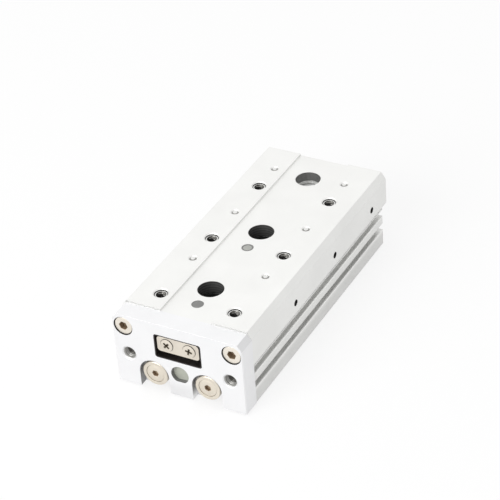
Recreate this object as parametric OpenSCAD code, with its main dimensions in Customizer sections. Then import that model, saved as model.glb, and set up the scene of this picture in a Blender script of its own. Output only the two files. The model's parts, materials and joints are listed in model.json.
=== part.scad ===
// Twin-rod pneumatic slide table with a crossed-roller guide.
// The cylinder body carries a hardened guide rail. The table hangs on two side guides that
// run beside the rail on crossed rollers, and two rods pull it by its end plate.
// X is the width and Z the height above the underside of the body. The table travels
// towards -Y, where the end plate is. The model stands at rest, with the rods drawn in.

/* [Table] */
// Width across the table and the end plate
table_w = 62; // [58:0.5:72]
// Length of the table behind the end plate
table_l = 131.7; // [131:0.5:150]
// Thickness of the table over the guide rail
table_t = 6.06; // [5.4:0.1:9]
// Height of the two long pads above the middle band
pad_h = 0.8; // [0.4:0.1:1.2]
// Width of the middle band between the pads
band_w = 24.5; // [20:0.5:26]
// Width of the bevel along each top edge
bevel_w = 2.2; // [1:0.1:3]
// Height of the bevel on the table
bevel_h = 3.2; // [1:0.1:4]
// Height of the bevel on the end plate
plate_bevel_h = 2.75; // [1:0.05:3.5]
// Diameter of the access holes over the mounting bolts
access_d = 11.6; // [10:0.1:13]
// Distance from the end plate's front to the first access hole
access_y = 30.8; // [28:0.2:34]
// Pitch of the access holes and of the mounting bolts below them
access_pitch = 46.4; // [44:0.2:47]
// Distance from the end plate's front to the first tapped holes
tapped_y = 19.2; // [17:0.2:21]
// Pitch of the tapped holes along the table
tapped_pitch = 45; // [42:0.5:46]
// Distance between the two rows of tapped holes
tapped_row_w = 35.4; // [34:0.2:37]
// Distance from the end plate's front to the first guide screws
guide_screw_y = 47.1; // [45:0.2:48]
// Pitch of the guide screws
guide_screw_pitch = 38.8; // [36:0.2:40]
// Distance from the end plate's front to the first preload screw
preload_y = 48.3; // [46:0.2:50]
// Pitch of the preload screws
preload_pitch = 38.4; // [36:0.2:40]
// Diameter of the locating plugs in the middle band
locating_d = 5.3; // [4:0.1:7]

/* [Body] */
// Length of the cylinder body
body_l = 127; // [126:0.5:129]
// How far the body's side stands inside the table's side
body_inset = 0.25; // [0.2:0.05:1]
// Bevel along the bottom edges of the body
body_bevel = 0.6; // [0.2:0.1:1]
// Bore of each cylinder
bore_d = 12; // [11:0.5:12.5]
// Wall under the bores
bore_floor = 2.6; // [2:0.1:3]
// Wall between the two bores
bore_web = 13.3; // [12.6:0.1:14]
// Height of the lower sensor groove's middle
groove_z = 9.9; // [8:0.1:10.5]
// Height of a sensor groove
groove_h = 3.4; // [3:0.1:4]
// Depth of a sensor groove
groove_depth = 4; // [3:0.1:5]
// Distance between the two sensor grooves
groove_pitch = 7.55; // [7:0.05:8]
// Wall above the upper sensor groove
groove_cover = 0.75; // [0.5:0.05:1.5]
// Thread diameter of the air ports
port_d = 5; // [4:0.5:6]
// Thread diameter of the bolt holes in the underside
foot_thread_d = 5; // [4:0.5:5]
// Distance between the two rows of bolt holes in the underside
foot_row_w = 47; // [46:0.5:48]
// Pitch of the bolt holes along the underside
foot_pitch = 90; // [80:1:95]

/* [Motion] */
// Travel of the table
stroke = 75; // [30:1:75]
// Diameter of the piston rods
rod_d = 6; // [5:0.5:6.5]
// Length of a piston
piston_l = 21.6; // [18:0.2:21.6]

/* [Guide] */
// Width of the guide rail
rail_w = 20; // [18:0.2:20]
// Height of the guide rail
rail_h = 7.5; // [7:0.1:9]
// Height of the step that carries the guide rail
rail_step_h = 2.2; // [1:0.1:3]
// Diameter of the crossed rollers
roller_d = 3; // [2:0.1:3.4]
// Rollers in one cage
roller_count = 9; // [5:1:9]
// Pitch of the rollers
roller_pitch = 5.4; // [5:0.1:5.6]
// Space between the guide rail and each side guide
guide_gap = 1.6; // [1.5:0.1:2]
// Width of a side guide
guide_w = 10; // [8:0.1:10.4]

/* [End plate] */
// Thickness of the end plate
plate_t = 9; // [8.5:0.5:12]
// Height of the end plate's lower edge above the underside
plate_lift = 0.7; // [0.3:0.1:1.5]
// Width of the window round the guide rail's end
window_w = 22.4; // [22.2:0.2:24]
// Space under the guide rail's end in the window
window_drop = 3.4; // [1:0.1:3.6]
// Width of the slots that hold the rod ends
slot_w = 14.2; // [13:0.1:14.4]
// Diameter of the floating bushings
bushing_d = 12; // [10:0.5:12.2]
// Diameter of the bumper hole between the slots
bumper_hole_d = 8.4; // [6:0.2:8.6]
// Height of the bumper hole's middle above the underside
bumper_z = 12.1; // [11:0.1:12.5]
// Distance between the two corner bolts
corner_bolt_w = 51.6; // [51:0.2:53]
// Depth of the corner bolts below the middle band
corner_bolt_drop = 5.8; // [5:0.1:7]
// Distance between the two tapped holes in the end plate
front_thread_w = 48.4; // [48:0.2:50]
// Height of the tapped holes in the end plate above the underside
front_thread_z = 16.4; // [15:0.1:17]

/* [Fits] */
// Space between parts that slide past each other with air between them
sliding_gap = 0.35; // [0.3:0.05:0.6]
// Radial running clearance of rods, pistons and rollers
running_fit = 0.04; // [0.02:0.01:0.08]
// Radial clearance of parts that are pushed into a bore and stay there
seat_fit = 0.03; // [0.01:0.01:0.06]
// Radial clearance of a screw in its clearance hole
screw_fit = 0.25; // [0.15:0.05:0.3]

/* [Hidden] */

// facets of a full circle, which only sets how it looks in a quick view
round_fn = 48;
// overshoot of a cutting shape past the face that it cuts
over = 1;

// lengths along Y, counted from the front face of the end plate
total_l = plate_t + table_l;
front_y = -total_l / 2;
plate_gap = 0.5;
body_y0 = plate_t + plate_gap;
body_y1 = body_y0 + body_l;

// widths
body_half_w = table_w / 2 - body_inset;
bore_x = (bore_web + bore_d) / 2;
rail_half_w = rail_w / 2;
guide_x0 = rail_half_w + guide_gap;
guide_x1 = guide_x0 + guide_w;
preload_gap = 0.5;
step_half_w = rail_half_w - 1;

// heights
bore_r = bore_d / 2;
bore_z = bore_floor + bore_r;
upper_groove_z = groove_z + groove_pitch;
deck_z = upper_groove_z + groove_h / 2 + groove_cover;
rail_z0 = deck_z + rail_step_h;
rail_z1 = rail_z0 + rail_h;
rail_mid_z = (rail_z0 + rail_z1) / 2;
ceiling_z = rail_z1 + 0.4;
guide_z0 = 2 * rail_mid_z - ceiling_z;
skirt_z0 = deck_z + sliding_gap;
band_z = ceiling_z + table_t;
pad_z = band_z + pad_h;

// metric screws: thread radius, head radius, head height, across the flats of the hexagon
m3 = [1.5, 2.75, 2, 2.5];
m4 = [2, 3.5, 4, 3];
m5 = [2.5, 4.25, 5, 4];
// radius of a tapped hole as a share of its thread radius
tapped = 0.84;
// depth of a hexagon socket as a share of the head's height
socket_share = 0.55;
// how far a screw's tip stays short of the end of its hole
tip_gap = 1;
insert_wall = 0.9;
insert_sink = 0.5;
insert_r = m5[0] * tapped + insert_wall;
insert_end_gap = 0.3;

// cylinder inside, along Y
ring_t = 1;
ring_inset = 1.1;
ring_groove = 0.5;
nose_l = 3;
nose_gap = 0.8;
bumper_t = 2;
bumper_groove_r = 0.45;
end_gap = 0.3;
head_cap_l = 9.4;
// O-rings of caps and supports: cord, depth and half length of the groove, and its place
o_cord_r = 0.6;
o_groove = 2 * o_cord_r + seat_fit;
o_groove_half = 0.8;
head_cap_groove = 5.6;
seal_support_groove = 5.8;
puller_thread_l = 5;
// rod seal and its pocket
rod_seal_inset = 0.8;
rod_seal_l = 3;
rod_seal_wall = 1.5;
rod_seal_fit = 0.05;
seal_support_y0 = body_y0 + ring_inset + ring_t + seat_fit;
front_bumper_y1 = body_y1 - ring_inset - ring_t - seat_fit - head_cap_l - bumper_t
                  - piston_l - stroke - 2 * end_gap;
seal_support_y1 = front_bumper_y1 - bumper_t;
piston_y0 = front_bumper_y1 + end_gap + stroke;
piston_y1 = piston_y0 + piston_l;
rear_bumper_y0 = piston_y1 + end_gap;
head_cap_y0 = rear_bumper_y0 + bumper_t;
head_cap_y1 = head_cap_y0 + head_cap_l;
front_port_y = seal_support_y1 - nose_l / 2;
rear_port_y = head_cap_y0 + nose_l / 2;
passage_r = 1.25;
port_depth = 7;
port_face_depth = 0.4;
port_face_r = port_d / 2 + 1.6;

// retaining rings
ring_width = 1.35;
ring_offset = 0.25;
ring_ear_r = 1;
ring_ear_hole_r = 0.45;
ring_ear_turn = 24;
ring_mouth_half = 1.2;

// pistons and rods
spigot_r = 2;
piston_shoulder = 2;
piston_r = bore_r - 2 * running_fit;
nut_r = 3.6;
nut_h = 3.2;
nut_sink = 0.3;
seal_inset = 2.4;
seal_groove_l = 2;
seal_groove = 1.5;
magnet_l = 5;
magnet_groove = 2.2;
rod_bevel = 0.4;

// guide, along Y
stopper_t = 1.6;
stopper_inset = 0.55;
stopper_corner = 1.5;
rail_y0 = stopper_inset + stopper_t;
rail_y1 = body_y1 - 2;
guide_end_gap = 1.3;
guide_y0 = plate_t + guide_end_gap;
guide_y1 = total_l - guide_end_gap;
stopper_screw_x = 5.35;
stopper_head_r = 3.05;
stopper_head_sink = 0.3;
stopper_screw_l = 6.5;
rail_screw_y = 16;
rail_screw_places = [for (i = [0 : 2]) rail_screw_y + i * access_pitch];
rail_screw_depth = 8;
rail_head_sink = 0.2;
guide_screw_places = [for (i = [0 : 2]) guide_screw_y + i * guide_screw_pitch];
guide_screw_inset = 3.9;
guide_screw_x = guide_x1 - guide_screw_inset;
guide_screw_mouth = 0.5;
guide_screw_sink = 0.7;
guide_head_sink = 0.3;
preload_places = [for (i = [0 : 2]) preload_y + i * preload_pitch];
preload_sink = 2.4;
preload_socket = 2.5;
preload_hex = 1.5;
stop_screw_x = guide_x0 + 2.1;
stop_screw_r = 1;
stop_screw_l = 3.5;
stop_hole_l = stop_screw_l + tip_gap / 2;
stop_head_r = 1.9;
stop_head_h = 0.95;
v_x = rail_half_w + guide_gap / 2;
v_side = roller_d + 2 * running_fit;
relief = 0.5;
cage_side_gap = 0.3;
cage_rim = 1.1;
cage_end = 2.5;
cage_t = guide_gap - 2 * cage_side_gap;
cage_h = roller_d * sqrt(2) + 2 * cage_rim;
cage_l = (roller_count - 1) * roller_pitch + roller_d + 2 * cage_end;
// the cage's place keeps it between rail and side guide at both ends of the travel
cage_mid_y = (rail_y0 + guide_y1) / 2;
roller_l = roller_d - 0.1;
cage_window_gap = 0.3;

// mounting bolts that pass down through the table and the rail into the body
mount_head_r = access_d / 2 - 0.25;
mount_seat_z = bore_z + bore_r + 1;
mount_hole_r = 3.3;
mount_count = 2;

// holes in the underside
foot_depth = groove_z - groove_h / 2 - 1.2;
dowel_d = 4;
dowel_pitch = 60;

// table
tapped_places = [for (i = [0 : 2]) tapped_y + i * tapped_pitch];
locating_depth = 4.5;
locating_sink = 0.05;
corner_bolt_l = 14;

// end plate
window_h = rail_h + window_drop + 1;
window_z0 = rail_z0 - window_drop;
window_corner = 1.2;
liner_t = 0.5;
bushing_r = bushing_d / 2;
bushing_inset = 0.6;
web_y0 = 3.9;
web_y1 = 6.3;
neck_r = 4.4;
web_gap = 0.2;
rod_y0 = plate_t - 0.2;
rod_bolt_head_r = 4.15;
rod_bolt_head_h = 2.3;
rod_bolt_l = 12;
rod_bolt_gap = 0.1;
rod_bolt_seat_y = bushing_inset + rod_bolt_head_h + rod_bolt_gap;
rod_hole_end_y = rod_bolt_seat_y + rod_bolt_l + tip_gap / 2;
bumper_y0 = 2;
bumper_rim = 0.6;
bumper_flat = 0.5;
edge_bevel = 0.4;
bumper_bevel = 0.4;
corner_bolt_z = band_z - corner_bolt_drop;
corner_head_gap = 0.3;
head_sink = 0.3;
liner_inset = 0.1;

// moves the front face of the end plate to its place and the middle of the length to Y 0
module placed() {
    translate([0, front_y, 0]) children();
}

// extrudes an XZ outline from y0 to y1
module extrude_y(y0, y1) {
    translate([0, y1, 0]) rotate([90, 0, 0]) linear_extrude(y1 - y0) children();
}

// extrudes a YZ outline from x0 to x1
module extrude_x(x0, x1) {
    translate([x0, 0, 0]) rotate([90, 0, 90]) linear_extrude(x1 - x0) children();
}

// round bar along Y
module bar_y(x, z, y0, y1, r, fn = round_fn) {
    translate([x, y0, z]) rotate([-90, 0, 0]) cylinder(r = r, h = y1 - y0, $fn = fn);
}

// round bar along X
module bar_x(x0, x1, y, z, r, fn = round_fn) {
    translate([x0, y, z]) rotate([0, 90, 0]) cylinder(r = r, h = x1 - x0, $fn = fn);
}

// round bar along Z
module bar_z(x, y, z0, z1, r, fn = round_fn) {
    translate([x, y, z0]) cylinder(r = r, h = z1 - z0, $fn = fn);
}

// turned part whose axis lies along Y; the outline gives radius and distance along the axis
module turned_y(x, z) {
    translate([x, 0, z]) rotate([-90, 0, 0]) rotate_extrude($fn = round_fn) children();
}

// turned ring with a round section along Y
module o_ring_y(x, z, y, ring_r, cord_r) {
    turned_y(x, z) translate([ring_r, y]) circle(r = cord_r, $fn = 24);
}

// rectangle from corner to corner
module box2(x0, x1, y0, y1) {
    translate([x0, y0]) square([x1 - x0, y1 - y0]);
}

// rectangle with round corners, made of true arcs
module round_box2(x0, x1, y0, y1, r) {
    box2(x0 + r, x1 - r, y0, y1);
    box2(x0, x1, y0 + r, y1 - r);
    for (x = [x0 + r, x1 - r], y = [y0 + r, y1 - r]) translate([x, y]) circle(r = r, $fn = 32);
}

// slot with a round end, open towards the side that it is cut from
module u_slot2(x_open, x_end, z, h) {
    box2(min(x_open, x_end), max(x_open, x_end), z - h / 2, z + h / 2);
    translate([x_end, z]) circle(r = h / 2, $fn = 32);
}

// mirrors what stands on the +X side to both sides
module both_sides() {
    children();
    mirror([1, 0, 0]) children();
}

// socket head cap screw along Y: its head looks towards -Y and its seat is at y
module cap_screw_y(x, y, z, size, l, head_r, head_h, hex) {
    difference() {
        union() {
            bar_y(x, z, y - head_h, y, head_r);
            bar_y(x, z, y, y + l, size);
        }
        bar_y(x, z, y - head_h - over, y - head_h * (1 - socket_share), hex / sqrt(3), 6);
    }
}

// square groove turned by 45 degrees that forms the vee for the rollers, with a relief at its foot
module vee2(x, z) {
    apex = v_side / sqrt(2);
    translate([x, z]) rotate(45) square(v_side, center = true);
    translate([x, z]) square([2 * (apex + relief / 2), relief], center = true);
}

// outline of the cylinder body
module body_outline() {
    difference() {
        union() {
            polygon([[-body_half_w + body_bevel, 0], [body_half_w - body_bevel, 0],
                     [body_half_w, body_bevel], [body_half_w, deck_z],
                     [-body_half_w, deck_z], [-body_half_w, body_bevel]]);
            box2(-step_half_w, step_half_w, deck_z - over, rail_z0);
        }
        for (z = [groove_z, upper_groove_z])
            u_slot2(body_half_w + over, body_half_w - groove_depth + groove_h / 2, z, groove_h);
    }
}

// groove for a retaining ring and the bore itself
module bore_cut(x) {
    bar_y(x, bore_z, body_y0 - over, body_y1 + over, bore_r);
    for (y = [body_y0 + ring_inset, body_y1 - ring_inset - ring_t])
        bar_y(x, bore_z, y, y + ring_t, bore_r + ring_groove);
}

// air port on the left side with its passage across both bores
module port_cut(y) {
    bar_x(-body_half_w - over, bore_x, y, bore_z, passage_r);
    bar_x(-body_half_w - over, -body_half_w + port_depth, y, bore_z, port_d / 2 * tapped);
    bar_x(-body_half_w - over, -body_half_w + port_face_depth, y, bore_z, port_face_r);
}

// y of the bolt holes in the underside
function foot_y(i) = (body_y0 + body_y1) / 2 + (i - 0.5) * foot_pitch;

// cylinder body: bores, sensor grooves, ports and the holes that fasten it
module body() {
    color("gainsboro") placed() difference() {
        extrude_y(body_y0, body_y1) body_outline();
        for (x = [-bore_x, bore_x]) bore_cut(x);
        for (y = [front_port_y, rear_port_y]) port_cut(y);
        for (i = [0 : mount_count - 1]) {
            bar_z(0, access_y + i * access_pitch, mount_seat_z, rail_z0 + over, mount_head_r);
            bar_z(0, access_y + i * access_pitch, -over, rail_z0, mount_hole_r);
        }
        for (y = rail_screw_places)
            bar_z(0, y, rail_z0 - rail_screw_depth - tip_gap, rail_z0 + over, m4[0] + seat_fit);
        for (i = [0, 1], x = [-foot_row_w / 2, foot_row_w / 2])
            bar_z(x, foot_y(i), -over, foot_depth, foot_thread_d / 2 * tapped);
        for (i = [0, 1])
            bar_z(0, (body_y0 + body_y1) / 2 + (i - 0.5) * dowel_pitch, -over, dowel_d, dowel_d / 2);
    }
}

// threaded hole for a stopper screw in the rail's end at y; its bevelled mouth takes the cone
// of the screw, and dir is the way in
module stopper_hole(x, y, dir) {
    r = m3[0] + seat_fit;
    mouth = stopper_head_r - m3[0] + stopper_head_sink - stopper_t + 2 * seat_fit;
    translate([x, y, rail_mid_z]) rotate([-90 * dir, 0, 0]) {
        cylinder(r = r, h = stopper_screw_l - stopper_t + tip_gap, $fn = round_fn);
        cylinder(r1 = r + mouth, r2 = r, h = mouth, $fn = round_fn);
        translate([0, 0, -over]) cylinder(r = r, h = over, $fn = round_fn);
    }
}

// guide rail: hardened steel with a vee along each side
module guide_rail() {
    color("lightsteelblue") placed() difference() {
        extrude_y(rail_y0, rail_y1) difference() {
            box2(-rail_half_w, rail_half_w, rail_z0, rail_z1);
            both_sides() vee2(v_x, rail_mid_z);
        }
        for (i = [0 : mount_count - 1])
            bar_z(0, access_y + i * access_pitch, rail_z0 - over, rail_z1 + over, mount_head_r);
        for (y = rail_screw_places) {
            bar_z(0, y, rail_z0 - over, rail_z1 + over, m4[0] + screw_fit);
            bar_z(0, y, rail_z1 - m4[2] - rail_head_sink, rail_z1 + over, m4[1] + screw_fit);
        }
        for (x = [-stopper_screw_x, stopper_screw_x]) {
            stopper_hole(x, rail_y0, 1);
            stopper_hole(x, rail_y1, -1);
        }
    }
}

// cap screws that hold the rail on the body
module rail_screws() {
    head_z1 = rail_z1 - rail_head_sink;
    color("dimgray") placed() for (y = rail_screw_places) difference() {
        union() {
            bar_z(0, y, head_z1 - m4[2], head_z1, m4[1]);
            bar_z(0, y, rail_z0 - rail_screw_depth, head_z1 - m4[2] / 2, m4[0]);
        }
        bar_z(0, y, head_z1 - m4[2] * socket_share, rail_z1 + over, m4[3] / sqrt(3), 6);
    }
}

// plate over one end of the rail that keeps the rollers in
module roller_stopper(y0) {
    difference() {
        extrude_y(y0, y0 + stopper_t)
            round_box2(-rail_half_w, rail_half_w, rail_z0, rail_z1, stopper_corner);
        children();
    }
}

// countersunk hole through a stopper, from its face at y in the direction dir
module stopper_countersink(x, y, dir) {
    r = stopper_head_r + seat_fit;
    hole_r = m3[0] + screw_fit / 2;
    translate([x, y, rail_mid_z]) rotate([-90 * dir, 0, 0]) {
        translate([0, 0, -over]) cylinder(r = r, h = over + stopper_head_sink, $fn = round_fn);
        translate([0, 0, stopper_head_sink])
            cylinder(r1 = r, r2 = hole_r, h = r - hole_r, $fn = round_fn);
        cylinder(r = hole_r, h = stopper_t + over, $fn = round_fn);
    }
}

// front roller stopper, seen through the window of the end plate
module roller_stopper_front() {
    color("antiquewhite") placed() roller_stopper(stopper_inset)
        for (x = [-stopper_screw_x, stopper_screw_x])
            stopper_countersink(x, stopper_inset, 1);
}

// rear roller stopper
module roller_stopper_rear() {
    color("antiquewhite") placed() roller_stopper(rail_y1)
        for (x = [-stopper_screw_x, stopper_screw_x])
            stopper_countersink(x, rail_y1 + stopper_t, -1);
}

// flat head screw with a cross recess; it stands at the origin and points along +Z
module cross_screw(l) {
    cone_h = stopper_head_r - m3[0];
    arm = [3, 0.7, 0.9];
    difference() {
        union() {
            cylinder(r1 = stopper_head_r, r2 = m3[0], h = cone_h, $fn = round_fn);
            cylinder(r = m3[0], h = l, $fn = round_fn);
        }
        for (turn = [0, 90]) rotate(turn) translate([-arm[0] / 2, -arm[1] / 2, -over])
            cube([arm[0], arm[1], over + arm[2]]);
    }
}

// screws of both roller stoppers
module stopper_screws() {
    color("wheat") placed() for (x = [-stopper_screw_x, stopper_screw_x]) {
        translate([x, stopper_inset + stopper_head_sink, rail_mid_z]) rotate([-90, 20, 0])
            cross_screw(stopper_screw_l);
        translate([x, rail_y1 + stopper_t - stopper_head_sink, rail_mid_z]) rotate([90, 20, 0])
            cross_screw(stopper_screw_l);
    }
}

// rear cap of a cylinder with its seal groove and the nose that stands in the port's way
module head_cap(x) {
    r = bore_r - seat_fit;
    groove_y = head_cap_y0 + head_cap_groove;
    turned_y(x, bore_z) difference() {
        polygon([[0, head_cap_y0], [bore_r - nose_gap, head_cap_y0],
                 [bore_r - nose_gap, head_cap_y0 + nose_l], [r, head_cap_y0 + nose_l],
                 [r, head_cap_y1], [0, head_cap_y1]]);
        box2(r - o_groove, r + over, groove_y - o_groove_half, groove_y + o_groove_half);
        box2(-over, m3[0] * tapped, head_cap_y1 - puller_thread_l, head_cap_y1 + over);
    }
}

// O-ring in the bore at x, in a groove whose middle is at y
module bore_o_ring(x, y) {
    o_ring_y(x, bore_z, y, bore_r - o_cord_r - seat_fit / 2, o_cord_r);
}

module head_cap_left() {
    color("silver") placed() head_cap(-bore_x);
}

module head_cap_right() {
    color("silver") placed() head_cap(bore_x);
}

module head_cap_o_rings() {
    color("black") placed() for (x = [-bore_x, bore_x])
        bore_o_ring(x, head_cap_y0 + head_cap_groove);
}

// spring ring with its gap at the top and two ears with tool holes
module retaining_ring(x, y0) {
    ring_r = bore_r + ring_groove - seat_fit;
    ear_y = bore_r - 1.2 * ring_ear_r;
    extrude_y(y0 + seat_fit / 2, y0 + ring_t - seat_fit / 2) translate([x, bore_z]) difference() {
        union() {
            difference() {
                circle(r = ring_r, $fn = round_fn);
                translate([0, -ring_offset]) circle(r = ring_r - ring_width, $fn = round_fn);
            }
            for (turn = [-ring_ear_turn, ring_ear_turn]) rotate(turn) translate([0, ear_y])
                circle(r = ring_ear_r, $fn = 24);
        }
        box2(-ring_mouth_half, ring_mouth_half, bore_r / 3, ring_r + over);
        for (turn = [-ring_ear_turn, ring_ear_turn]) rotate(turn) translate([0, ear_y])
            circle(r = ring_ear_hole_r, $fn = 16);
    }
}

module rear_retaining_rings() {
    color("dimgray") placed() for (x = [-bore_x, bore_x])
        retaining_ring(x, body_y1 - ring_inset - ring_t);
}

module front_retaining_rings() {
    color("dimgray") placed() for (x = [-bore_x, bore_x]) retaining_ring(x, body_y0 + ring_inset);
}

// rubber ring that stops a piston, with a round groove outside that lets it give
module bumper_ring(x, y0) {
    turned_y(x, bore_z) difference() {
        box2(rod_d / 2 + bumper_rim, bore_r - nose_gap, y0, y0 + bumper_t);
        translate([bore_r - nose_gap, y0 + bumper_t / 2]) circle(r = bumper_groove_r, $fn = 24);
    }
}

module rear_bumpers() {
    color("darkslategray") placed() for (x = [-bore_x, bore_x]) bumper_ring(x, rear_bumper_y0);
}

module front_bumpers() {
    color("darkslategray") placed() for (x = [-bore_x, bore_x]) bumper_ring(x, seal_support_y1);
}

// front bearing of a rod, with the pocket for the rod seal
module seal_support(x) {
    r = bore_r - seat_fit;
    hole_r = rod_d / 2 + running_fit;
    groove_y = seal_support_y0 + seal_support_groove;
    pocket_y = seal_support_y0 + rod_seal_inset;
    bevel = 0.3;
    turned_y(x, bore_z) difference() {
        polygon([[hole_r, seal_support_y0], [r - bevel, seal_support_y0],
                 [r, seal_support_y0 + bevel],
                 [r, seal_support_y1 - nose_l], [bore_r - nose_gap, seal_support_y1 - nose_l],
                 [bore_r - nose_gap, seal_support_y1], [hole_r, seal_support_y1]]);
        box2(0, hole_r + rod_seal_wall, pocket_y, pocket_y + rod_seal_l);
        box2(r - o_groove, r + over, groove_y - o_groove_half, groove_y + o_groove_half);
    }
}

module seal_support_left() {
    color("silver") placed() seal_support(-bore_x);
}

module seal_support_right() {
    color("silver") placed() seal_support(bore_x);
}

module seal_support_o_rings() {
    color("black") placed() for (x = [-bore_x, bore_x])
        bore_o_ring(x, seal_support_y0 + seal_support_groove);
}

// lip seals round the rods
module rod_seals() {
    r0 = rod_d / 2 + running_fit;
    r1 = r0 + rod_seal_wall - rod_seal_fit;
    y0 = seal_support_y0 + rod_seal_inset + rod_seal_fit;
    y1 = y0 + rod_seal_l - 2 * rod_seal_fit;
    color("black") placed() for (x = [-bore_x, bore_x]) turned_y(x, bore_z)
        polygon([[r0, y0], [r0 + 0.4, y0], [r0 + 0.7, y0 + 1.2], [r1 - 0.3, y0], [r1, y0],
                 [r1, y1], [r0 + 0.25, y1], [r0, y0 + 0.8]]);
}

// corners of the table's outline on the side dir, from the foot of its skirt up to the band;
// wall_x is the inner face of the skirt
function table_corners(dir, wall_x) = [
    [dir * wall_x, ceiling_z], [dir * wall_x, skirt_z0 + edge_bevel],
    [dir * (wall_x + edge_bevel), skirt_z0], [dir * (table_w / 2 - edge_bevel), skirt_z0],
    [dir * table_w / 2, skirt_z0 + edge_bevel], [dir * table_w / 2, pad_z - bevel_h],
    [dir * (table_w / 2 - bevel_w), pad_z], [dir * band_w / 2, pad_z], [dir * band_w / 2, band_z]];

// outline of the table: an upside-down channel, whose right side is wider inside for the preload
module table_outline() {
    left = table_corners(-1, guide_x1);
    polygon(concat(table_corners(1, guide_x1 + preload_gap),
                   [for (i = [len(left) - 1 : -1 : 0]) left[i]]));
}

// holes in the top of the table
module table_holes() {
    for (y = tapped_places, x = [-tapped_row_w / 2, tapped_row_w / 2]) {
        bar_z(x, y, ceiling_z - over, pad_z + over, insert_r + seat_fit);
        translate([x, y, pad_z - insert_sink])
            cylinder(r1 = insert_r, r2 = insert_r + insert_sink, h = insert_sink, $fn = round_fn);
    }
    for (y = guide_screw_places, x = [-guide_screw_x, guide_screw_x]) {
        bar_z(x, y, ceiling_z - over, pad_z + over, m3[0] + seat_fit);
        translate([x, y, pad_z - guide_screw_mouth])
            cylinder(r1 = m3[0], r2 = m3[0] + guide_screw_mouth, h = guide_screw_mouth,
                     $fn = round_fn);
    }
    for (i = [0 : 2])
        bar_z(0, access_y + i * access_pitch, ceiling_z - over, band_z + over, access_d / 2);
    for (i = [0, 1])
        bar_z(0, tapped_places[i], band_z - locating_depth, band_z + over,
              locating_d / 2 + seat_fit);
}

// table: an upside-down channel with two raised pads
module table() {
    color("whitesmoke") placed() difference() {
        extrude_y(plate_t, total_l) table_outline();
        table_holes();
        for (y = preload_places)
            bar_x(guide_x1, table_w / 2 + over, y, rail_mid_z, m3[0] + seat_fit);
        for (x = [-corner_bolt_w / 2, corner_bolt_w / 2])
            bar_y(x, corner_bolt_z, plate_t - over, plate_t + corner_bolt_l, m5[0] + seat_fit);
    }
}

// side guide on the side dir: its inner face carries a vee that faces the rail
module side_guide(dir) {
    head_h = m3[2] + guide_head_sink;
    difference() {
        extrude_y(guide_y0, guide_y1) difference() {
            box2(min(dir * guide_x0, dir * guide_x1), max(dir * guide_x0, dir * guide_x1),
                 guide_z0, ceiling_z);
            vee2(dir * v_x, rail_mid_z);
        }
        for (y = guide_screw_places) {
            bar_z(dir * guide_screw_x, y, guide_z0 - over, ceiling_z + over, m3[0] + screw_fit);
            bar_z(dir * guide_screw_x, y, guide_z0 - over, guide_z0 + head_h, m3[1] + screw_fit);
        }
        for (y = [guide_y0 - over, guide_y1 - stop_hole_l])
            bar_y(dir * stop_screw_x, rail_mid_z, y, y + stop_hole_l + over,
                  stop_screw_r + seat_fit);
    }
}

module side_guide_left() {
    color("lightsteelblue") placed() side_guide(-1);
}

module side_guide_right() {
    color("lightsteelblue") placed() side_guide(1);
}

// screws that pull the side guides up against the table; their tips show in the pads
module guide_screws() {
    head_z0 = guide_z0 + guide_head_sink;
    color("silver") placed() for (y = guide_screw_places, x = [-guide_screw_x, guide_screw_x])
        difference() {
            union() {
                bar_z(x, y, head_z0, head_z0 + m3[2], m3[1]);
                bar_z(x, y, head_z0 + m3[2] / 2, pad_z - guide_screw_sink, m3[0]);
            }
            bar_z(x, y, guide_z0, head_z0 + m3[2] * socket_share, m3[3] / sqrt(3), 6);
        }
}

// small pan head screws at the ends of the side guides that keep the cages in
module guide_stop_screws() {
    overlap = stop_head_h / 2;
    color("silver") placed() both_sides() {
        bar_y(stop_screw_x, rail_mid_z, guide_y0 - stop_head_h, guide_y0, stop_head_r);
        bar_y(stop_screw_x, rail_mid_z, guide_y0 - overlap, guide_y0 + stop_screw_l, stop_screw_r);
        bar_y(stop_screw_x, rail_mid_z, guide_y1, guide_y1 + stop_head_h, stop_head_r);
        bar_y(stop_screw_x, rail_mid_z, guide_y1 - stop_screw_l, guide_y1 + overlap, stop_screw_r);
    }
}

// set screws that press the right side guide against its rollers
module preload_screws() {
    x1 = table_w / 2 - preload_sink;
    color("dimgray") placed() for (y = preload_places) difference() {
        bar_x(guide_x1, x1, y, rail_mid_z, m3[0]);
        bar_x(x1 - preload_socket, x1 + over, y, rail_mid_z, preload_hex / sqrt(3), 6);
    }
}

// steel inserts in the tapped holes of the table
module thread_inserts() {
    color("gray") placed() for (y = tapped_places, x = [-tapped_row_w / 2, tapped_row_w / 2])
        difference() {
            bar_z(x, y, ceiling_z + insert_end_gap, pad_z - insert_sink, insert_r);
            bar_z(x, y, ceiling_z - over, pad_z + over, m5[0] * tapped);
        }
}

// flush plugs in the locating bores of the middle band
module locating_plugs() {
    color("darkgray") placed() for (i = [0, 1])
        bar_z(0, tapped_places[i], band_z - locating_depth, band_z - locating_sink,
              locating_d / 2);
}

// outline of the end plate without its holes
module plate_outline() {
    half_w = table_w / 2;
    polygon([[-half_w, plate_lift], [half_w, plate_lift], [half_w, band_z - plate_bevel_h],
             [half_w - bevel_w, band_z], [-half_w + bevel_w, band_z],
             [-half_w, band_z - plate_bevel_h]]);
}

// slot that is open at the bottom and ends in an arc round the rod's axis
module rod_slot2(x, w) {
    translate([x, bore_z]) circle(d = w, $fn = round_fn);
    box2(x - w / 2, x + w / 2, plate_lift - over, bore_z);
}

// bumper hole: a circle with a flat at its foot
module bumper_hole2() {
    r = bumper_hole_d / 2;
    intersection() {
        translate([0, bumper_z]) circle(r = r, $fn = round_fn);
        box2(-r, r, bumper_z - r + bumper_flat, bumper_z + r);
    }
}

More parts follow.
